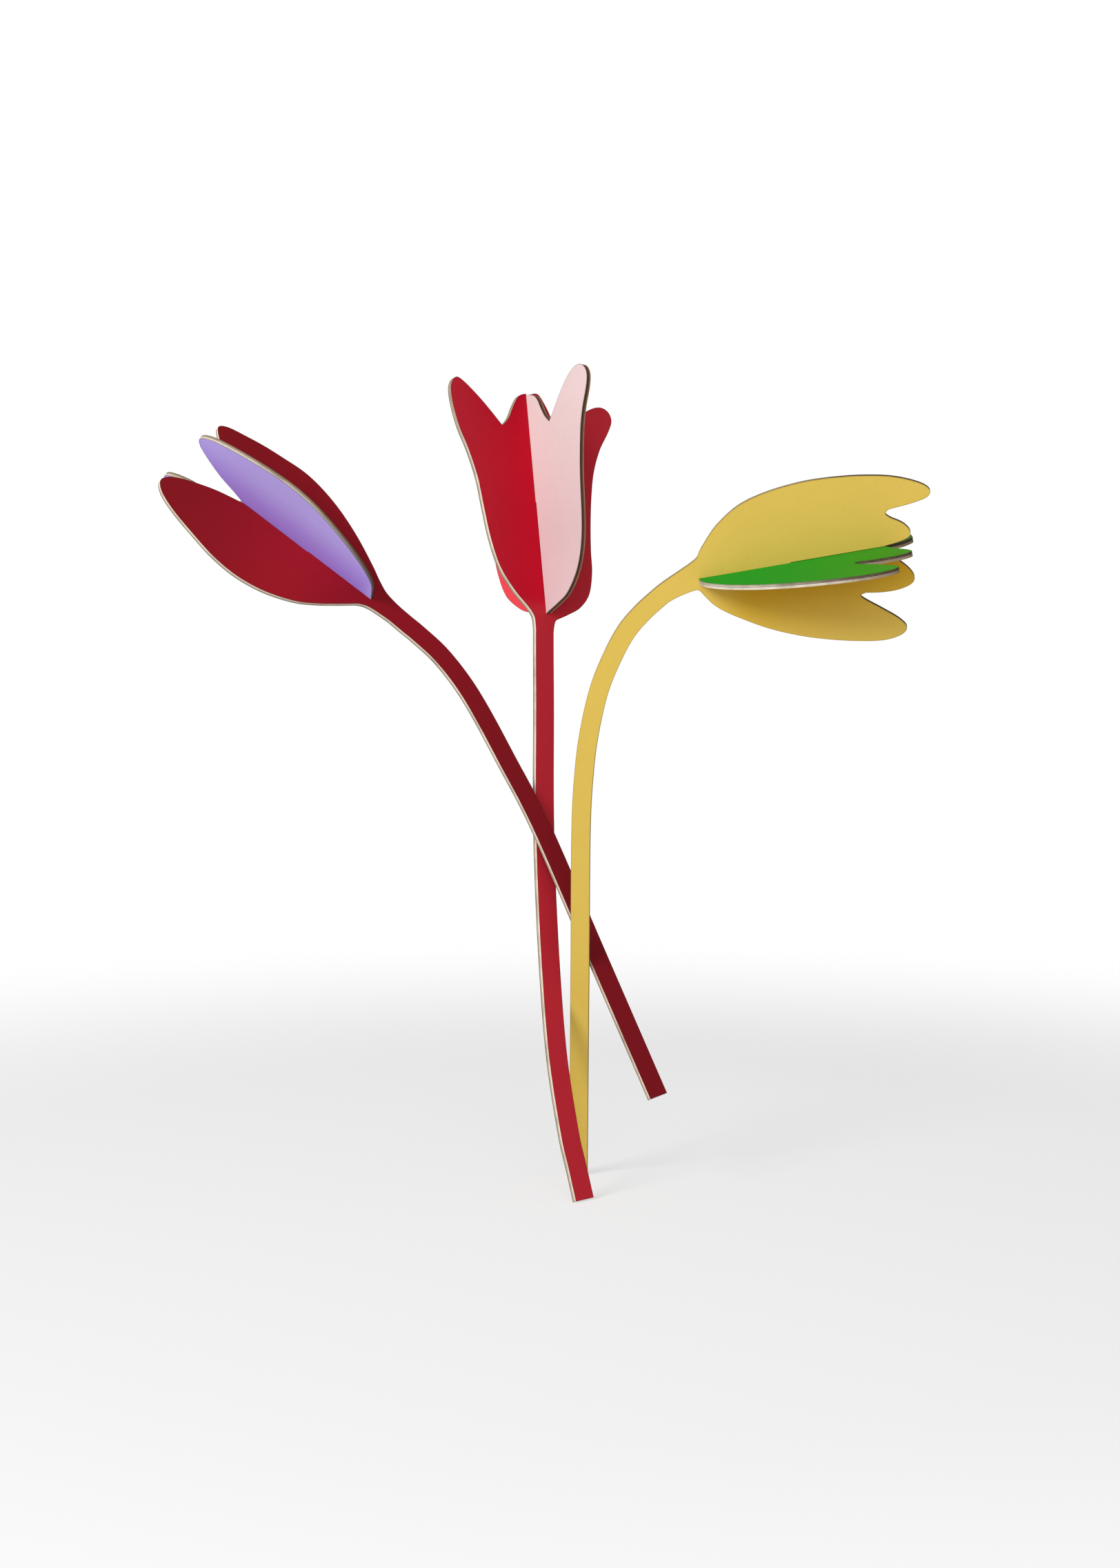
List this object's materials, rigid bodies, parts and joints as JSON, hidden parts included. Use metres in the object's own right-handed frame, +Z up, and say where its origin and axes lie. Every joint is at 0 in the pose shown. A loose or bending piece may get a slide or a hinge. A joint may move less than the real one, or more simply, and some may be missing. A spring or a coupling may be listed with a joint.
{
  "type": "card tulips",
  "caption": "Leaning set of die-cut card tulips, each with a flat stem board and a crossing petal board slotted together to form a flower.",
  "frame": {"origin": "centre of the cut foot face of the centre stem's front ply", "axes": "+Z up, +Y away from the viewer of the picture, +X to the viewer's right"},
  "size_m": [0.3345, 0.2364, 0.3704],
  "materials": {
    "centre_stem_front": "matte printed",
    "centre_stem_back": "matte printed",
    "centre_petals_front": "matte printed",
    "centre_petals_back": "matte printed",
    "left_stem_front": "matte printed",
    "left_stem_back": "matte printed",
    "left_petals_front": "matte printed",
    "left_petals_back": "matte printed",
    "right_stem_front": "matte printed",
    "right_stem_back": "matte printed",
    "right_petals_front": "matte printed",
    "right_petals_back": "matte printed"
  },
  "bodies": {
    "centre_stem": {"centre_stem_front_ply": "centre_stem_front", "centre_stem_back_ply": "centre_stem_back"},
    "centre_petals": {"centre_petals_front_ply": "centre_petals_front", "centre_petals_back_ply": "centre_petals_back"},
    "left_stem": {"left_stem_front_ply": "left_stem_front", "left_stem_back_ply": "left_stem_back"},
    "left_petals": {"left_petals_front_ply": "left_petals_front", "left_petals_back_ply": "left_petals_back"},
    "right_stem": {"right_stem_front_ply": "right_stem_front", "right_stem_back_ply": "right_stem_back"},
    "right_petals": {"right_petals_front_ply": "right_petals_front", "right_petals_back_ply": "right_petals_back"}
  },
  "joints": [
    {"name": "centre_petals_slide", "type": "slide", "parent": "centre_stem", "child": "centre_petals", "axis": [-0.0871, 0.3322, 0.9392], "range_m": [0, 0.1088]},
    {"name": "left_tulip_lift", "type": "slide", "parent": "centre_stem", "child": "left_stem", "axis": [-0.394, 0.261, 0.8813], "range_m": [0, 0.2]},
    {"name": "left_petals_slide", "type": "slide", "parent": "left_stem", "child": "left_petals", "axis": [-0.7833, -0.1097, 0.6119], "range_m": [0, 0.071]},
    {"name": "right_tulip_lift", "type": "slide", "parent": "centre_stem", "child": "right_stem", "axis": [0.0051, -0.2432, 0.97], "range_m": [0, 0.2]},
    {"name": "right_petals_slide", "type": "slide", "parent": "right_stem", "child": "right_petals", "axis": [0.9739, -0.1461, 0.1735], "range_m": [0, 0.0795]}
  ]
}
